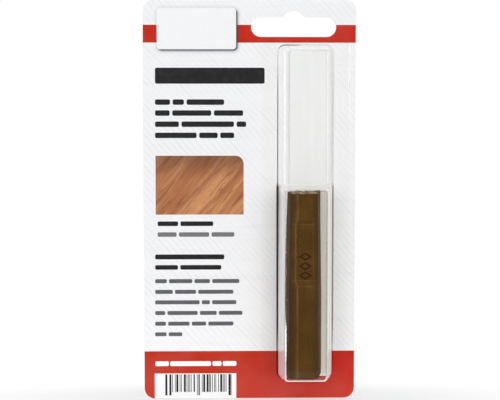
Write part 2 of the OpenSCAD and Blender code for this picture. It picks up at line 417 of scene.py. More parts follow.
def card_material():
    """Coated board with a faint ruled ground and two bands on its front, and plain board on its
    back and its edges."""
    m = Nodes("coated_board")
    where = m.place()
    x, _, z = m.axes(where)
    ahead = m.face()[1]
    front = m.math("LESS_THAN", ahead, -0.5)
    back = m.math("GREATER_THAN", ahead, 0.5)

    # faint ruled planks that run down to the right
    tilt = (0, HATCH_TURN, 0)
    warp = m.noise(m.place((250, 1000, 1000), tilt), 0.05, 3.0)
    across = m.math("ADD", m.axes(m.place(turn=tilt))[2], m.times(warp, 3.0))
    rule = m.ramp(m.math("PINGPONG", across, HATCH_GAP / 2), 0.0, 0.28, 1.0, 0.0)
    plank = m.ramp(m.math("PINGPONG", across, HATCH_GAP * 4), 0.0, 0.4, 1.0, 0.0)
    patchy = m.ramp(m.noise(m.place((120, 1000, 1000), tilt), 0.12, 3.0), 0.35, 0.62)
    grain = m.noise(m.place((60, 1000, 900), tilt), 0.75, 4.0, 0.6, 0.4)
    hatch = m.times(rule, m.math("ADD", m.times(patchy, 0.11), 0.03))
    hatch = m.math("ADD", hatch, m.times(plank, 0.05))
    hatch = m.math("ADD", hatch, m.ramp(grain, 0.48, 0.75, 0.0, 0.05))
    paper = m.mix(hatch, WHITE, RULE_GREY)
    mottle = m.noise(where, 0.35, 4.0, 0.55)
    paper = m.mix(m.ramp(mottle, 0.3, 0.7, 0.0, 0.05), paper, srgb(225, 226, 230))

    # the two printed bands
    top = m.times(m.math("LESS_THAN", z, BAND_TOP[1]), m.math("GREATER_THAN", z, BAND_TOP[0]))
    low = m.math("LESS_THAN", z, BAND_LOW)
    fine = m.noise(where, 6.0, 3.0, 0.6)
    low_red = m.mix(m.ramp(x, *RED_X), RED_DEEP, RED_SIDE)
    low_red = m.mix(m.ramp(z, *RED_Z, 1.0, 0.0), low_red, RED_LOW)
    red = m.mix(low, RED, low_red)
    red = m.mix(m.ramp(fine, 0.35, 0.7, 0.0, 0.06), red, RED_FINE)
    printed = m.mix(m.math("MAXIMUM", top, low), paper, red)

    # soft printed shadow under the badge
    parts = []
    for value, middle, half in zip((x, z), SHADOW_AT, SHADOW_HALF):
        away = m.math("ABSOLUTE", m.math("SUBTRACT", value, middle))
        past = m.math("MAXIMUM", m.math("SUBTRACT", away, half - SHADOW_R), 0.0)
        parts.append(m.math("POWER", past, 2.0))
    away = m.math("SQRT", m.math("ADD", *parts))
    near, wide = m.ramp(away, 2.25, 1.3, 0.0, 0.8), m.ramp(away, 3.4, 1.8, 0.0, 0.16)
    printed = m.mix(m.math("ADD", near, wide), printed, SHADOW_TONE)

    # plain board with fibres
    board = m.mix(m.noise(where, 1.6, 5.0, 0.7), srgb(214, 212, 206), srgb(232, 231, 226))
    fibre = m.noise(m.place((1000, 1000, 350)), 2.5, 6.0, 0.75)
    board = m.mix(m.ramp(fibre, 0.55, 0.8, 0.0, 0.35), board, srgb(176, 170, 160))
    edge = m.mix(m.noise(where, 9.0, 4.0, 0.7), srgb(196, 192, 184), srgb(228, 226, 221))
    colour = m.mix(front, m.mix(back, edge, board), printed)
    shade = m.ramp(m.noise(where, 0.08, 2.0), 0.35, 0.7, 0.0, 0.03)
    colour = m.mix(shade, colour, srgb(200, 200, 206))
    rough = m.mix(front, (0.78, 0.78, 0.78, 1), (0.36, 0.36, 0.36, 1))
    rough = m.math("ADD", rough, m.ramp(fine, 0.3, 0.7, -0.04, 0.05))
    fibrous = m.times(fibre, m.ramp(front, 0, 1, 1.4, 0.25, "LINEAR"))
    bent = m.bump(m.math("ADD", m.times(fine, 0.4), fibrous), 0.35, 0.00003)
    return m.finish(m.principled(colour, rough, bent, Specular_IOR_Level=0.13))


def ink_material(name, colour, light):
    """Printed ink: slightly uneven, with the board's grain in it."""
    m = Nodes(name)
    where = m.place()
    fine = m.noise(where, 7.0, 4.0, 0.65)
    broad = m.noise(where, 0.5, 2.0)
    mixed = m.mix(m.ramp(fine, 0.45, 0.75, 0.0, INK_UNEVEN), colour, light)
    mixed = m.mix(m.ramp(broad, 0.4, 0.7, 0.0, INK_UNEVEN * 0.4), mixed, light)
    uneven = m.ramp(fine, 0.3, 0.7, *INK_ROUGH)
    bent = m.bump(fine, 0.3, 0.00002)
    return m.finish(m.principled(mixed, uneven, bent, Specular_IOR_Level=0.25))


def wood_print_material():
    """Printed picture of a plain board: long grain across the corners, darker at the top."""
    m = Nodes("print_wood")
    turned = m.place((1000, 1000, 1000), (0, 50, 0))
    grain = m.add("ShaderNodeMapping")
    m.put(turned, grain.inputs["Vector"])
    grain.inputs["Scale"].default_value = (0.08, 1, 1)
    along = grain.outputs[0]
    broad = m.noise(along, 0.22, 3.0, 0.5, 1.0)
    streak = m.noise(along, 0.85, 4.0, 0.65, 0.6)
    pores = m.noise(along, 3.2, 4.0, 0.7)
    colour = m.mix(m.ramp(broad, 0.35, 0.65), srgb(172, 104, 60), srgb(206, 142, 92))
    colour = m.mix(m.ramp(streak, 0.48, 0.66, 0.0, 0.7), colour, srgb(128, 72, 40))
    colour = m.mix(m.ramp(streak, 0.42, 0.28, 0.0, 0.5), colour, srgb(224, 172, 124))
    colour = m.mix(m.ramp(pores, 0.52, 0.7, 0.0, 0.5), colour, srgb(112, 60, 34))
    colour = m.mix(m.ramp(m.axes(m.place())[2], -60.0, -50.0, 0.0, 0.55), colour, srgb(84, 44, 26))
    bent = m.bump(pores, 0.2, 0.00002)
    return m.finish(m.principled(colour, m.ramp(pores, 0.3, 0.7, 0.36, 0.46), bent))


def clear_material():
    """Clear formed sheet: see-through square on, shinier and, by a painted reflection, whiter at a
    glancing angle, and slightly grey where it bends, a painted shade. Light and shadows pass it
    nearly unchanged."""
    m = Nodes("clear_formed_sheet")
    where = m.place()
    waves = m.noise(m.place((1000, 1000, 250)), 0.35, 2.0)
    specks = m.noise(where, 3.0, 3.0, 0.6)
    bent = m.bump(m.math("ADD", waves, m.times(specks, 0.04)), 0.12, 0.0002)
    grazing = m.grazing(bent)
    mirror = m.times(m.math("POWER", grazing, 5.0), SHEET_GRAZING)
    # milky white that grows towards a glancing angle: a painted reflection of the white surroundings
    sheen_haze = m.times(m.math("POWER", grazing, SHEEN_HAZE_POWER), SHEEN_HAZE_GAIN)
    sheen_haze = m.math("MINIMUM", sheen_haze, SHEEN_HAZE_MOST)

    # which part of the bubble it is
    x, y, z = m.axes(where)
    face = m.face()
    aside, lean, upright = (m.math("ABSOLUTE", part) for part in face)
    foot = m.ramp(y, *FOOT_Y)
    off_foot = m.rest(foot)
    left = m.ramp(x, *LEFT_X)
    right = m.rest(left)
    lower = m.ramp(z, *LOWER_Z)
    upper = m.rest(lower)
    lower_left = m.times(left, lower)
    lowest = m.times(m.ramp(grazing, 0.6, 0.72), m.ramp(z, *LOWEST_Z), m.ramp(aside, 0.5, 0.8))
    end_wall = m.times(m.ramp(upright, 0.6, 0.8), m.ramp(z, *END_WALL_Z))
    top_end = m.times(m.ramp(face[2], 0.3, 0.6), m.ramp(z, *TOP_END_Z))
    upper_wall = m.times(upper, m.ramp(lean, 0.5, 0.25))
    sheen_haze = m.times(sheen_haze, m.rest(m.times(end_wall, END_CLEAR)))
    sheen_haze = m.toward(sheen_haze, m.toward(LOW_SHEEN_HAZE[1], LOW_SHEEN_HAZE[0], left), lowest)
    sheen_haze = m.times(sheen_haze, m.toward(1.0 - UPPER_CLEAR, 1.0, lower))
    mirror = m.toward(mirror, LOW_MIRROR, lowest)

    # bend at the front of each compartment, with extra shine and grey painted shade
    uneven = m.ramp(m.noise(where, 0.8, 3.0), 0.3, 0.7, 0.6, 1.0)
    start = m.times(m.ramp(lean, 0.95, 0.975), m.ramp(lean, 0.9995, 0.996), right, START_SHADE_LINE)
    bright = m.math("MAXIMUM", m.times(left, m.ramp(z, *LEFT_EDGE_Z)), m.ramp(z, *END_EDGE_Z))
    low_right = m.times(lower, right, m.rest(bright))
    bend = m.times(m.ramp(lean, 0.28, 0.5), off_foot)
    thin = m.times(bend, m.ramp(lean, 0.93, 0.72), m.toward(UPPER_BEND, 1.0, lower))
    wide = m.times(bend, m.ramp(lean, 0.988, 0.94))
    front_bend = m.toward(thin, wide, m.math("MAXIMUM", bright, low_right))
    shine = m.math("ADD", m.times(bright, EDGE_SHINE), m.times(m.rest(low_right), BEND_SHINE))
    shine = m.math("ADD", m.times(front_bend, shine), SHEET_MIRROR)
    dull = m.times(m.math("MAXIMUM", top_end, upper_wall), UPPER_DULL)

    # bend at the foot, where the sheet turns into its flange and a dark line of painted shade goes,
    # and the painted shade on the left wall
    begun = m.math("MAXIMUM", m.ramp(lean, 0.2, 0.3), lower_left)
    ended = m.toward(m.ramp(lean, 0.999, 0.97), m.ramp(lean, 0.95, 0.86), m.times(left, upper))
    foot_bend = m.times(begun, ended, foot)
    shade = m.ramp(z, *SHADE_Z, 0.0, WALL_SHADE, "LINEAR")
    shade = m.times(lower_left, shade, m.ramp(y, *SHADE_Y))
    kept = m.times(m.rest(foot_bend), m.rest(shade))
    sheen_haze = m.times(sheen_haze, kept)
    mirror = m.times(m.math("ADD", mirror, shine), kept, m.rest(dull))

    # colour of what passes the sheet, with painted shade at the foot, the bends, the lower end and
    # the left wall
    low_down = m.ramp(z, *FOOT_FADE)
    high_up = m.times(m.ramp(z, *TOP_FADE), m.rest(top_end))
    feet = []
    for beside, at_low, at_top in zip((FOOT_SHADE_LEFT, FOOT_SHADE_RIGHT), FOOT_SHADE_LOW, FOOT_SHADE_TOP):
        foot_shade = m.mix(lower, m.mix(high_up, beside[0], at_top), beside[1])
        feet.append(m.mix(low_down, foot_shade, at_low))
    front_tone = m.mix(low_right, m.mix(bright, BEND_SHADE, EDGE_SHADE), RIGHT_BEND_SHADE)
    tone = m.mix(foot, front_tone, m.mix(left, feet[1], feet[0]))
    bends = m.math("ADD", m.times(front_bend, uneven), foot_bend)
    clear = m.mix(bends, SHEET_TINT, tone)
    clear = m.mix(m.times(end_wall, END_SHADED), clear, END_SHADE_TINT)
    clear = m.mix(shade, clear, SHADE_GREY, "MULTIPLY")
    clear = m.mix(m.times(start, off_foot), clear, BEND_SHADE)

    gloss = m.principled(PURE, m.ramp(specks, 0.3, 0.7, 0.05, 0.09), bent, Metallic=1.0)
    film = m.blend(mirror, m.transparent(clear), gloss)
    # the painted reflection on the lower right wall is warmed by the wax
    milk = m.mix(m.times(lower, right), PURE, WARM_REFLECTION)
    # the milky white layer that carries the painted reflection
    milky = m.principled(milk, m.ramp(specks, 0.3, 0.7, 0.3, 0.4), bent)
    return m.finish(m.let_light_by(m.blend(sheen_haze, film, milky)))


def sealed_material():
    """The same sheet where it is sealed to the card, so only its front shines."""
    m = Nodes("clear_sealed_sheet")
    where = m.place()
    specks = m.noise(where, 2.2, 3.0, 0.6)
    dimples = m.noise(where, 0.8, 2.0)
    bent = m.bump(m.math("ADD", m.times(specks, 0.3), dimples), 0.3, 0.0001)
    mirror = m.times(m.math("POWER", m.grazing(), 5.0), SHEET_GRAZING)
    mirror = m.math("ADD", mirror, SEALED_MIRROR)
    x, _, z = m.axes(where)
    # painted highlight along the flange's right edge, fading downwards
    rim = m.ramp(x, FLANGE[1] - RIM_IN[0], FLANGE[1] - RIM_IN[1])
    rim = m.times(rim, m.ramp(z, *RIM_FADE), RIM_LIGHT)
    gloss = m.principled(PURE, m.ramp(specks, 0.3, 0.7, 0.08, 0.16), bent, Metallic=1.0)
    film = m.blend(mirror, m.transparent(SEALED_TINT), gloss)
    return m.finish(m.let_light_by(m.blend(rim, film, m.principled(PURE, 0.3, bent))))


def wax_material():
    """Cast wax: cloudy, dull and slightly pitted. The mesh marks its facets, lips and grooves,
    which carry painted shade and highlights.
    """
    m = Nodes("cast_wax")
    where = m.place()
    x, y, z = m.axes(where)
    broad = m.noise(where, 0.12, 3.0, 0.5, 0.3)
    cloud = m.noise(where, 0.9, 4.0, 0.6, 0.2)
    fine = m.noise(where, 7.0, 4.0, 0.65)
    smear = m.noise(m.place((1000, 1000, 120)), 1.4, 4.0, 0.6)
    colour = m.mix(m.ramp(broad, 0.35, 0.7), srgb(78, 53, 14), srgb(90, 62, 20))
    colour = m.mix(m.ramp(cloud, 0.45, 0.75, 0.0, 0.5), colour, srgb(70, 46, 16))
    colour = m.mix(m.ramp(smear, 0.52, 0.75, 0.0, 0.35), colour, srgb(104, 76, 36))
    colour = m.mix(m.ramp(z, *WAX_LOW_Z, 0.0, 0.25), colour, srgb(68, 42, 12))

    # facets: painted shade with streaks of drag and pale specks, the right one browner with deeper
    # painted shade
    facet = m.mark("facet")
    drag = m.noise(m.place((1000, 1000, 60)), 1.8, 5.0, 0.7)
    facet_shade = m.times(facet, m.ramp(drag, 0.38, 0.58, 0.2, 1.0))
    colour = m.mix(facet_shade, colour, srgb(64, 47, 24))
    pale = m.times(facet, m.ramp(drag, 0.58, 0.68, 0.0, 0.45))
    colour = m.mix(pale, colour, srgb(110, 88, 60))
    right_facet_shade = m.times(facet, m.ramp(x, *RIGHT_FACET_SHADE_X, 0.0, 0.65))
    colour = m.mix(right_facet_shade, colour, srgb(76, 52, 18))

    # painted highlight on the lips and along the torn upper edge, and painted shade in the grooves
    lip_highlight = m.times(m.mark("lip_highlight"), m.ramp(smear, 0.35, 0.6, 0.3, 0.75))
    colour = m.mix(lip_highlight, colour, srgb(118, 86, 44))
    # pale band along the torn upper edge, lighter towards the front: a painted highlight
    torn = m.noise(m.place((1000, 1000, 600)), 1.1, 3.0, 0.6)
    rag = m.times(m.math("SUBTRACT", torn, 0.5), TORN_RAG)
    cut = m.ramp(m.math("ADD", z, rag), STICK_Z[1] - TORN_DOWN[0], STICK_Z[1] - TORN_DOWN[1])
    cut = m.times(cut, m.ramp(smear, 0.35, 0.6, 0.5, 0.9), m.ramp(y, *TORN_Y, 0.12, 1.0))
    colour = m.mix(cut, colour, srgb(188, 170, 144))
    # painted shade in the grooves, by their depth
    colour = m.mix(m.times(m.mark("cavity_shade"), 0.85), colour, srgb(44, 28, 9))

    # pits
    pits = m.add("ShaderNodeTexVoronoi", feature="F1")
    m.put(where, pits.inputs["Vector"])
    pits.inputs["Scale"].default_value = 0.75
    pit = m.ramp(pits.outputs["Distance"], 0.06, 0.16, 1.0, 0.0)
    pit = m.times(pit, m.ramp(m.noise(where, 0.4, 2.0), 0.52, 0.62))
    colour = m.mix(m.times(pit, 0.5), colour, srgb(52, 33, 14))
    height = m.math("ADD", cloud, m.times(fine, 0.22))
    height = m.math("ADD", height, m.times(smear, 0.4))
    height = m.math("SUBTRACT", height, m.times(pit, 0.9))
    looks = {"Specular_IOR_Level": 0.07, "Subsurface_Weight": 0.06, "Subsurface_Scale": 0.001}
    rough = m.ramp(cloud, 0.3, 0.7, 0.55, 0.68)
    return m.finish(m.principled(colour, rough, m.bump(height, 0.5, 0.00012), **looks))


def spatula_material():
    """Milky plastic with faint flow lines and scratches along it."""
    m = Nodes("milky_moulding")
    where = m.place()
    z = m.axes(where)[2]
    flow = m.noise(m.place((1000, 1000, 90)), 0.5, 3.0, 0.5)
    fine = m.noise(where, 5.0, 4.0, 0.6)
    colour = m.mix(m.ramp(flow, 0.3, 0.7), srgb(241, 241, 239), srgb(238, 238, 236))
    colour = m.mix(m.ramp(fine, 0.5, 0.8, 0.0, 0.15), colour, srgb(231, 230, 227))
    colour = m.mix(m.ramp(z, *SPATULA_WARM_Z), colour, SPATULA_WARM, "MULTIPLY")
    scratch = m.noise(m.place((1000, 1000, 25)), 3.5, 2.0)
    height = m.math("ADD", m.times(fine, 0.5), m.ramp(scratch, 0.6, 0.72, 0.0, 1.0))
    rough = m.ramp(fine, 0.3, 0.7, 0.3, 0.42)
    looks = {"Subsurface_Weight": 0.05, "Subsurface_Scale": 0.001}
    return m.finish(m.principled(colour, rough, m.bump(height, 0.25, 0.00003), **looks))


# Mesh helpers
def mesh_object(name, verts, faces):
    """An object with a new mesh, in the scene."""
    mesh = bpy.data.meshes.new(name)
    mesh.from_pydata(verts, [], faces)
    mesh.validate()
    obj = bpy.data.objects.new(name, mesh)
    bpy.context.collection.objects.link(obj)
    return obj


def piece(name, verts, faces, body, material, slot, node=None, smooth=True):
    """A mesh piece from points in millimetres."""
    obj = mesh_object(name, [Vector(v) * MM for v in verts], faces)
    obj.data.materials.append(material)
    for p in obj.data.polygons:
        p.use_smooth = smooth
    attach(obj, body)
    if node:
        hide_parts(node)
    return obj


def rounded_loop(x0, x1, z0, z1, r, y, steps=8):
    """Points round a rounded rectangle in the XZ plane at y. r is one radius, or the radius of
    its upper right corner and of the other three."""
    first, r = r if isinstance(r, tuple) else (r, r)
    corners = (
        (x1 - first, z1 - first, 0, first), (x0 + r, z1 - r, 90, r),
        (x0 + r, z0 + r, 180, r), (x1 - r, z0 + r, 270, r),
    )
    points = []
    for cx, cz, start, r in corners:
        for i in range(steps + 1):
            a = math.radians(start + 90 * i / steps)
            points.append((cx + r * math.cos(a), y, cz + r * math.sin(a)))
    return points


def stack(rings):
    """Faces over a stack of loops of equal length, with both ends closed. The loops run
    anticlockwise seen from the front, from the back loop to the front one."""
    n = len(rings[0])
    verts = [p for ring in rings for p in ring]
    faces = []
    for k in range(len(rings) - 1):
        for i in range(n):
            a, b = k * n + i, k * n + (i + 1) % n
            faces.append((b, a, a + n, b + n))
    faces.append(tuple(range(n)))
    faces.append(tuple(reversed(range((len(rings) - 1) * n, len(rings) * n))))
    return verts, faces


def plate(name, box, r, near, far, body, material, slot, node=None, edge=0.0, steps=8):
    """Rounded plate in the XZ plane from y = near to y = far, with its edges eased by edge."""
    x0, x1, z0, z1 = box
    rings = [(0.0, near), (0.0, far)]
    if edge:
        turns = [math.radians(30 * i) for i in range(4)]
        rings = [(edge * (1 - math.sin(a)), near - edge * (1 - math.cos(a))) for a in turns]
        rings += [(edge * (1 - math.cos(a)), far + edge * (1 - math.sin(a))) for a in turns]
    loops = []
    for i, y in rings:
        eased = r if isinstance(r, tuple) else max(r - i, 0.001)
        loops.append(rounded_loop(x0 + i, x1 - i, z0 + i, z1 - i, eased, y, steps))
    return piece(name, *stack(loops), body, material, slot, node, smooth=False)


# Blister
def ramp_path(depth, shoulder, wall):
    """Foot blend, wall and front shoulder as pairs of inset and depth."""
    path = []
    r = FOOT_R + wall
    for i in range(9):
        a = math.radians(90 * i / 8)
        path.append((wall - r * (1 - math.sin(a)), SHEET - wall + r * (1 - math.cos(a))))
    r = shoulder - wall
    for i in range(9):
        a = math.radians(90 * i / 8)
        path.append((wall + r * (1 - math.cos(a)), depth - shoulder + r * math.sin(a)))
    return path


def bubble_ring(inset, depth, form_d, wall, top, draft_top, tucked=0.0, flare=0.0):
    """One loop round a form of the bubble, in from its foot by inset and by the drafts."""
    left, right = (inset + tucked + depth * math.tan(math.radians(a)) for a in SIDE_DRAFT)
    r = CORNER_R + (CORNER_FRONT_R - CORNER_R) * min(depth / form_d, 1) - min(inset - wall, 0) - wall
    bottom = BUBBLE_Z[0] + inset + tucked + depth * math.tan(math.radians(BOTTOM_DRAFT))
    head = top - inset - depth * math.tan(math.radians(draft_top)) + flare
    x0, x1 = BUBBLE_X[0] + left, BUBBLE_X[1] - right
    return rounded_loop(x0, x1, bottom, head, r, -CARD_T - depth)


def upper_form(wall, back):
    """The shallow form over the bubble's whole height, which starts at the depth back."""
    path = ramp_path(UPPER_D, UPPER_SHOULDER, wall)
    path = [(path[0][0], back)] + path
    return [bubble_ring(i, d, UPPER_D, wall, BUBBLE_Z[1], TOP_DRAFT) for i, d in path]


def lower_form(wall):
    """The deep form, which starts inside the shallow one and leaves it with the step's fillet."""
    path = ramp_path(LOWER_D, LOWER_SHOULDER, wall)[8:]
    base = UPPER_D - wall
    fillet = STEP_FILLET + wall
    full = [path[0], (wall, base - STEP_ROOT)]
    for i in range(9):
        a = math.radians(90 * i / 8)
        full.append((wall, base - STEP_SUNK + fillet * (1 - math.cos(a))))
    rings = []
    for inset, depth in full + path[1:]:
        over = min(max((depth - base + STEP_SUNK) / fillet, 0.0), 1.0)
        flare = fillet * (1 - math.sqrt(1 - (1 - over) ** 2))
        rings.append(bubble_ring(inset, depth, LOWER_D, wall, STEP_FOOT, STEP_DRAFT, TUCK, flare))
    return rings


def blister():
    """The clear sheet: its flange and the two forms as one, hollowed by the same two forms a
    sheet smaller."""
    near = -CARD_T - FLANGE_LIFT
    flange = [rounded_loop(*FLANGE, FLANGE_R, y) for y in (near, -CARD_T - SHEET)]
    whole = mesh_object("blister_work", *stack(flange))
    cuts = (
        ("upper_outer", upper_form(0.0, SHEET / 2), "UNION"),
        ("lower_outer", lower_form(0.0), "UNION"),
        ("upper_inner", upper_form(SHEET, -1.0), "DIFFERENCE"),
        ("lower_inner", lower_form(SHEET), "DIFFERENCE"),
    )
    tools = []
    for name, rings, operation in cuts:
        tools.append(mesh_object(name, *stack(rings)))
        mod = whole.modifiers.new("cut", "BOOLEAN")
        mod.operation = operation
        mod.solver = "EXACT"
        mod.object = tools[-1]
    bpy.context.view_layer.update()
    cut = whole.evaluated_get(bpy.context.evaluated_depsgraph_get())
    made = bpy.data.meshes.new_from_object(cut)
    verts = [tuple(v.co) for v in made.vertices]
    faces = [tuple(p.vertices) for p in made.polygons]
    for obj in [whole] + tools:
        bpy.data.objects.remove(obj)

    obj = piece("blister_sheet", verts, faces, "pack", clear_material(), "clear_sheet", "blister")
    obj.data.materials.append(sealed_material())
    for p in obj.data.polygons:
        if all(obj.data.vertices[i].co.y > -(CARD_T + SHEET + 0.01) * MM for i in p.vertices):
            p.material_index = 1
    bm = bmesh.new()
    bm.from_mesh(obj.data)
    for e in bm.edges:
        if len(e.link_faces) != 2 or e.calc_face_angle(0) > math.radians(SHARP_BEND):
            e.smooth = False
    bm.to_mesh(obj.data)
    bm.free()
    obj.modifiers.new("even_shading", "WEIGHTED_NORMAL").keep_sharp = True


# Wax stick
def corner(prev, point, nxt, r, steps=4):
    """Points of a fillet of radius r where two edges of an outline meet."""
    p, a, b = Vector(point), Vector(prev) - Vector(point), Vector(nxt) - Vector(point)
    a.normalize()
    b.normalize()
    half = a.angle(b) / 2
    reach = r / math.tan(half)
    start, end = p + a * reach, p + b * reach
    centre = p + (a + b).normalized() * (r / math.sin(half))
    return [centre + (start - centre).slerp(end - centre, i / steps) for i in range(steps + 1)]


def clamped(value):
    return min(1.0, max(0.0, value))


def bell(value, centre, width):
    """1 at the centre, falling to 0 at its width."""
    return max(0.0, 1 - abs(value - centre) / width)


def lumps(x, y, z):
    return noise.noise(Vector((x, y, z)))


def ring_heights():
    """Heights of the section rings, close together on the panel and at both ends."""
    low, high = STICK_Z
    heights = []
    z = low
    while z < high - 1e-6:
        heights.append(z)
        if PANEL_LO - 1 < z < PANEL_HI + 1:
            z += PANEL_STEP
        else:
            z += END_STEP if z < low + END_ZONE or z > high - END_ZONE else PLAIN_STEP
    return heights + [high]


def panel_depth(z):
    """Depth of the label panel at a height, with a slope at both of its ends."""
    if z >= PANEL_HI or z <= PANEL_LO:
        return 0.0
    if FLOOR_LO <= z <= FLOOR_HI:
        return PANEL_D
    t = (PANEL_HI - z) / PANEL_SLOPE if z > FLOOR_HI else (z - PANEL_LO) / PANEL_SLOPE
    return PANEL_D * (0.7 * t + 0.3 * t * t * (3 - 2 * t))


def groove(x, z):
    """Depth of the dents and of the marks' lines on the panel."""
    deepest = 0.0
    for dx, dz in DENTS:
        away = math.hypot((x - dx) / DENT_HALF[0], (z - dz) / DENT_HALF[1])
        deepest = max(deepest, DENT_D * (1 - away * away))
    line = MARK_LINE / (MARK_W / 2)
    for middle in MARKS:
        out = abs(x) / (MARK_W / 2) + abs(z - middle) / (MARK_H / 2)
        if 1 - line - 0.08 < out < 1.04:
            s = 1 - abs(out - (1 - line / 2)) / (line / 2 + 0.08)
            deepest = max(deepest, MARK_D * min(1.0, max(0.0, s) * 1.9))
    return deepest


def section(z):
    """Outline of the stick at a height, and the depth, the left and the right of its front."""
    rise = max(0.0, (z - TAPER_FROM) / (STICK_Z[1] - TAPER_FROM))
    taper = rise ** 1.5
    left = -STICK_W / 2 + LEFT_TAPER * taper
    right = STICK_W / 2 - RIGHT_IN - RIGHT_TAPER * min(1.0, rise * 1.4)
    sl, sr = (s + t * taper for s, t in zip(SHOULDER_X, SHOULDER_TAPER))
    deep = max(panel_depth(z), END_BEVEL - min(z - STICK_Z[0], STICK_Z[1] - z))
    fl, fr = (f + (s - f) / FACET_D * deep for s, f in zip(SHOULDER_X, FRONT_X))
    fr -= FRONT_TAPER * taper
    shoulder, front = FACET_D - STICK_T, deep - STICK_T
    corners = [(left, 0), (sl, shoulder), (fl, front), (fr, front), (sr, shoulder), (right, 0)]
    points = []
    for i in range(6):
        points.append(corner(corners[i - 1], corners[i], corners[(i + 1) % 6], EDGE_RADII[i]))
    loop = []
    for i in range(6):
        loop += points[i]
        a, b = points[i][-1], points[(i + 1) % 6][0]
        for k in range(1, SIDE_STEPS[i]):
            loop.append(a.lerp(b, k / SIDE_STEPS[i]))
    return loop, deep, fl, fr


def worn(x, y, z, deep, fl, fr):
    """A point of the section with its wear, and how far it is facet, lip and cavity, which the wax's
    colour uses for painted shade and highlights.
    """
    low, high = STICK_Z
    front, shoulder = deep - STICK_T, FACET_D - STICK_T
    facet = clamped((y - front - 0.05) / 0.3) * clamped((shoulder + 0.1 - y) / 0.3)
    facet *= 1 - 0.5 * bell(x, fl, 0.3)
    lip_highlight = cavity_shade = 0.0
    if y < front + 0.02:
        cut = groove(x, z)
        y += cut + BEAD * clamped((x - fl - 0.55) / 0.35)
        cavity_shade = min(1.0, cut / 0.2)
        ends = max(bell(z, e, 0.3) for e in (PANEL_HI, FLOOR_HI, FLOOR_LO, PANEL_LO))
        lip_highlight = max(bell(x, fl + 0.35, 0.62), 0.75 * ends)
        if deep > 0.7:
            lip_highlight = max(lip_highlight, 0.5 * bell(x, fr, 0.3))

    # torn upper edge, and slow and fine lumps all over
    rag = lumps(x * 0.7, y * 0.5, 3.0) * 0.8 + lumps(x * 2.9, y * 2.2, 8.0) * 0.4
    torn = max(0.0, 1 - (high - z) / TORN_H) * max(0.0, 0.35 + rag)
    lump = lumps(x * 0.35, y * 0.35, z * 0.12) * 0.05 + lumps(x * 1.1, y * 1.1, z * 0.5) * 0.02
    inward = Vector((x, y + STICK_T / 2)).normalized() * (ROUGH_IN - lump)

    # the ends are eased all round
    close = min(z - low, high - z)
    ease = END_EASE * (1 - math.sqrt(max(0.0, 1 - (1 - min(close / END_EASE, 1)) ** 2)))
    if not -0.001 < y < 0.001:
        y = y - inward.y - math.copysign(ease, y + STICK_T / 2)
    x = x - inward.x - math.copysign(ease, x) * min(1.0, abs(x) / 2)
    z -= torn
    lip_highlight = max(lip_highlight * (1 - cavity_shade), bell(z, high - 0.35, 0.4) * (0.5 + rag))
    return (STICK_X + x, STICK_BACK + min(y, 0.0), z), (facet, lip_highlight, cavity_shade)


def close_end(verts, faces, start, ring, lumpy, flip):
    """Close one end of the stick with smaller and smaller copies of its ring of points."""
    n = len(ring)
    centre = [sum(p[i] for p in ring) / n for i in range(3)]
    previous = [start + i for i in range(n)]
    for size in (0.93, 0.8, 0.55, 0.25):
        current = []
        for p in ring:
            x, y = (c + (v - c) * size for c, v in zip(centre[:2], p))
            z = p[2] * size + centre[2] * (1 - size)
            z += lumpy * lumps(x * 0.8, y * 0.8, 20.0 + start // n)
            current.append(len(verts))
            verts.append((x, y, min(max(z, STICK_Z[0]), STICK_Z[1])))
        for i in range(n):
            a, b, c, e = previous[i], previous[(i + 1) % n], current[(i + 1) % n], current[i]
            faces.append((a, e, c, b) if flip else (a, b, c, e))
        previous = current
    hub = len(verts)
    verts.append((centre[0], centre[1], min(max(centre[2], STICK_Z[0]), STICK_Z[1])))
    for i in range(n):
        a, b = previous[i], previous[(i + 1) % n]
        faces.append((a, hub, b) if flip else (a, b, hub))


def wax_stick():
    """Section rings along the stick. The panel and its marks are cut into the rings' front."""
    rings, marks = [], []
    for height in ring_heights():
        loop, deep, fl, fr = section(height)
        points = [worn(x, y, height, deep, fl, fr) for x, y in loop]
        rings.append([point for point, _ in points])
        marks += [mark for _, mark in points]
    n = len(rings[0])
    verts = [p for ring in rings for p in ring]
    faces = []
    for k in range(len(rings) - 1):
        for i in range(n):
            a, b = k * n + i, k * n + (i + 1) % n
            faces.append((a, b, b + n, a + n))
    close_end(verts, faces, 0, rings[0], 0.02, True)
    close_end(verts, faces, (len(rings) - 1) * n, rings[-1], 0.1, False)
    bar = piece("wax_bar", verts, faces, "stick", wax_material(), "wax", "wax_stick")
    for name, values in zip(("facet", "lip_highlight", "cavity_shade"), zip(*marks)):
        values += (0.0,) * (len(verts) - len(values))
        bar.data.attributes.new(name, "FLOAT", "POINT").data.foreach_set("value", values)


# Print. A place on the card is its left, right, low and high, and a line of words is its left,
# right, high and low.
BADGE = (-51.37, -21.61, -9.75, 5.66)
HEADING = (-52.1, -10.9, -22.6, -16.6)
PICTURE_EDGE = (-52.4, -18.5, -72.3, -49.35)
PICTURE = (-52.07, -18.82, -71.96, -49.68)
BOLD_LINES = (
    (-52.14, -26.15, -27.9, -31.0), (-52.15, -18.99, -32.0, -35.1),
    (-52.17, -17.85, -36.2, -39.3), (-52.19, -22.38, -40.4, -43.5),
)
CAPTION = ((-51.37, -30.33, -74.05, -76.71),)
CAPTION_LIGHT = ((-51.39, -22.37, -78.05, -80.90),)
SEMI_BOLD = ((-52.37, -26.17, -86.5, -89.5), (-52.39, -27.31, -90.6, -93.4))
TEXT = (
    (-52.41, -20.47, -95.9, -98.6), (-52.43, -22.75, -100.0, -102.7),
    (-52.44, -21.61, -104.0, -106.7), (-52.46, -19.32, -108.1, -110.8),
    (-52.48, -22.75, -112.2, -114.9), (-52.49, -42.20, -116.3, -118.9),
)
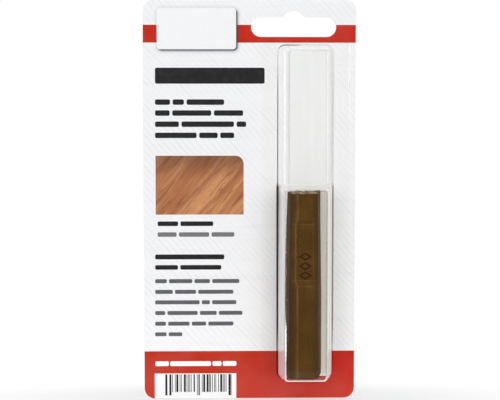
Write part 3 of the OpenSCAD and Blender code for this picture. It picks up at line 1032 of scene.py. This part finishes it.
BAND_LINE = ((-52.54, -21.60, -127.4, -130.5),)
# a letter's width for its line's height, where a bar stands in its line, and how round it is
LETTER = 0.62
BAR_LOW = 0.45
BAR_ROUND = 0.3
# label: its box, the bars' left and right, their widths and gaps, and their heights
CODE_BOX = (-52.76, -21.65, CARD_LOW + 0.02, -132.80)
CODE_X = (-48.74, -23.51)
CODE_WIDTHS = (0.26, 0.26, 0.52, 0.78)
CODE_GAPS = (0.26, 0.30, 0.52, 0.78)
CODE_LONG = (-141.24, -133.11)
CODE_SHORT = (-139.96, -133.11)


def strip(name, box, material, r=0.3, level=0):
    """A printed patch: a film of ink on the card's front, on top of level earlier films."""
    x0, x1, z0, z1 = box
    near = PRINT_NEAR - level * PRINT_T
    if not isinstance(r, tuple):
        r = min(r, (x1 - x0) / 2 - 0.001, (z1 - z0) / 2 - 0.001)
    return plate(name, box, r, near, near - PRINT_T, "pack", material, "print", steps=5)


def join(name, parts):
    """Several patches of one ink as one piece."""
    verts, faces = [], []
    for o in parts:
        start = len(verts)
        verts += [tuple(v.co / MM) for v in o.data.vertices]
        faces += [tuple(start + i for i in p.vertices) for p in o.data.polygons]
    material = parts[0].data.materials[0]
    for o in parts:
        bpy.data.objects.remove(o)
    piece(name, verts, faces, "pack", material, "print", smooth=False)


def word_bars(name, lines, material, height_share, gap, words):
    """Lines of blank word bars of mixed lengths."""
    parts = []
    turn = 0
    for x0, x1, z1, z0 in lines:
        lengths = []
        total = 0.0
        size = z1 - z0
        while total < x1 - x0 - 0.1:
            length = words[turn % len(words)] * size * LETTER
            turn += 1
            lengths.append(length)
            total += length + gap
        scale = (x1 - x0 - gap * (len(lengths) - 1)) / sum(lengths)
        tall = size * height_share
        low = z0 + size * (1 - height_share) * BAR_LOW
        x = x0
        for length in lengths:
            w = length * scale
            parts.append(strip(name, (x, x + w, low, low + tall), material, tall * BAR_ROUND))
            x += w + gap
    join(name, parts)


def printing():
    """The badge, lines of word bars, the picture and the label, each a thin film on the card."""
    ink = ink_material("print_black", INK, srgb(70, 68, 70))
    grey = ink_material("print_grey", srgb(92, 92, 96), srgb(120, 120, 124))
    light = ink_material("print_light_grey", srgb(116, 116, 120), srgb(142, 142, 146))
    white = ink_material("print_white", srgb(244, 244, 245), srgb(234, 234, 237))
    wood = wood_print_material()

    join("print_badge", [strip("s", BADGE, white, 1.2, level=1)])
    join("print_heading", [strip("s", HEADING, ink, 0.7)])
    word_bars("print_bold_lines", BOLD_LINES, ink, 0.66, 1.0, (4, 3, 10, 3, 8, 6, 5, 11, 2, 9))
    join("print_picture_edge", [strip("s", PICTURE_EDGE, white, (3.3, 0.3))])
    join("print_picture", [strip("s", PICTURE, wood, (3.0, 0.1), level=1)])
    word_bars("print_caption", CAPTION, ink, 0.66, 0.9, (5, 8))
    word_bars("print_caption_light", CAPTION_LIGHT, light, 0.6, 0.9, (5, 8, 6))
    word_bars("print_semi_bold", SEMI_BOLD, ink, 0.62, 0.9, (16, 5, 9))
    letters = (3, 6, 4, 7, 5, 6, 10, 11, 2, 6, 3, 9, 5, 7)
    word_bars("print_text", TEXT, grey, 0.56, 0.85, letters)
    word_bars("print_band_line", BAND_LINE, white, 0.6, 0.5, (3, 9, 2))

    # label with plain bars of mixed widths, some longer at both ends and in the middle
    join("print_code_box", [strip("s", CODE_BOX, white, 0.1)])
    rng = random.Random(11)
    first, last = CODE_X
    parts = []
    x = first
    while x < last - 0.69:
        end = min(x + rng.choice(CODE_WIDTHS), last)
        long_bar = len(parts) in (0, 1, 13, 14) or x > last - 1.39
        span = CODE_LONG if long_bar else CODE_SHORT
        parts.append(strip("s", (x, end, *span), ink, 0.01, level=1))
        x = end + rng.choice(CODE_GAPS)
    parts.append(strip("s", (last - CODE_WIDTHS[0], last, *CODE_LONG), ink, 0.01, level=1))
    join("print_code_bars", parts)


# Studio
FLOOR_AT = (-16.6, 0, -142.44)
FLOOR_R = (130.0, 80.0)
FLOOR_GLOW = 0.55
# metres to the glow's two ends, and how much nearer the floor glows behind and in front
GLOW_AWAY = (0.04, 0.125)
GLOW_BEHIND = 4.0
GLOW_FRONT = 1.65
# light from all round: weaker from the front, and dark or bright to mirrors
WORLD_FILL = 0.32
WORLD_BACK = 0.95
BACK_Y = (-0.1, 0.7)
FILL_COLOUR = (0.97, 0.985, 1.0, 1)
MIRROR_GREY = (0.8, 0.8, 0.8, 1)
DARK_FRONT = 0.03
FRONT_Y = (-0.92, -0.6)
BRIGHT_UNDER = 1.15
UNDER_Z = (-0.05, -0.2)
LAMP_AIM = (-10, 0, -70)
# name, place, size, watts, and whether only reflections show it
LAMPS = (
    ("box_left", (-440, -600, 10), (420, 420), 2.35, False),
    ("box_right", (430, -600, 10), (420, 420), 2.08, False),
    ("top", (-60, -420, 520), (420, 240), 0.7, False),
    ("strip_left", (-500, -370, -40), (160, 600), 1.2, True),
    ("strip_right", (500, -390, -40), (160, 600), 1.2, True),
    ("strip_top", (0, -200, 560), (500, 140), 0.9, True),
    ("strip_low", (0, -220, -760), (500, 140), 1.2, True),
)


def floor_material():
    """Matte white that glows more and more towards the rim, for everything but lamp light."""
    m = Nodes("studio_floor")
    x, y, _ = m.axes(m.place((1, 1, 1)))
    behind = m.times(m.math("MAXIMUM", y, 0.0), GLOW_BEHIND)
    depth = m.math("ADD", behind, m.times(m.math("MINIMUM", y, 0.0), GLOW_FRONT))
    square = m.math("ADD", m.math("POWER", x, 2.0), m.math("POWER", depth, 2.0))
    far = m.ramp(m.math("SQRT", square), *GLOW_AWAY, FLOOR_GLOW, 1.0)
    seen = m.rays("Camera", "Glossy", "Transmission")
    glowing = m.times(m.math("MAXIMUM", far, m.rays("Glossy")), seen)
    fine = m.noise(m.place(), 0.2, 2.0)
    matte = m.principled(m.mix(fine, srgb(244, 244, 244), srgb(249, 249, 249)), 0.9)
    glow = m.add("ShaderNodeEmission")
    glow.inputs["Strength"].default_value = 1.0
    return m.finish(m.blend(glowing, matte, glow.outputs[0]))


def world():
    """White to the camera and through the sheet, a soft fill, and another one to mirrors."""
    m = Nodes("studio", world=True)
    _, y, z = m.axes(m.add("ShaderNodeTexCoord").outputs["Generated"])
    fill = m.background(FILL_COLOUR, m.ramp(y, *BACK_Y, WORLD_FILL, WORLD_BACK))
    strength = m.times(m.ramp(y, *FRONT_Y, DARK_FRONT, 1.0), m.ramp(z, *UNDER_Z, 1.0, BRIGHT_UNDER))
    mirrored = m.background(MIRROR_GREY, strength)
    seen = m.blend(m.rays("Camera", "Transmission"), fill, m.background(PURE, 1.0))
    bpy.context.scene.world = m.finish(m.blend(m.rays("Glossy"), seen, mirrored))


def studio():
    """Floor, surroundings and lamps."""
    turn = [2 * math.pi * i / 96 for i in range(96)]
    rim = [Vector((math.cos(t) * FLOOR_R[0], math.sin(t) * FLOOR_R[1], 0)) * MM for t in turn]
    floor = mesh_object("floor", rim, [tuple(range(96))])
    floor.data.materials.append(floor_material())
    floor.location = Vector(FLOOR_AT) * MM
    world()
    for name, at, size, power, only_gloss in LAMPS:
        data = bpy.data.lights.new(name, "AREA")
        data.shape = "RECTANGLE"
        data.size, data.size_y = size[0] * MM, size[1] * MM
        data.energy = power
        obj = bpy.data.objects.new(name, data)
        obj.location = Vector(at) * MM
        aim = Vector(LAMP_AIM) * MM - obj.location
        obj.rotation_euler = aim.to_track_quat("-Z", "Y").to_euler()
        if only_gloss:
            obj.visible_diffuse = False
        bpy.context.collection.objects.link(obj)


# Build
card = frame["nodes"]["backing_card"]
card.data.materials.clear()
card.data.materials.append(card_material())
blister()
wax_stick()
plate(
    "spatula_blade", (*SPATULA_X, *SPATULA_Z), SPATULA_R, SPATULA_Y[1], SPATULA_Y[0],
    "spatula", spatula_material(), "spatula_plastic", "spatula", edge=SPATULA_EDGE, steps=10,
)
printing()
studio()
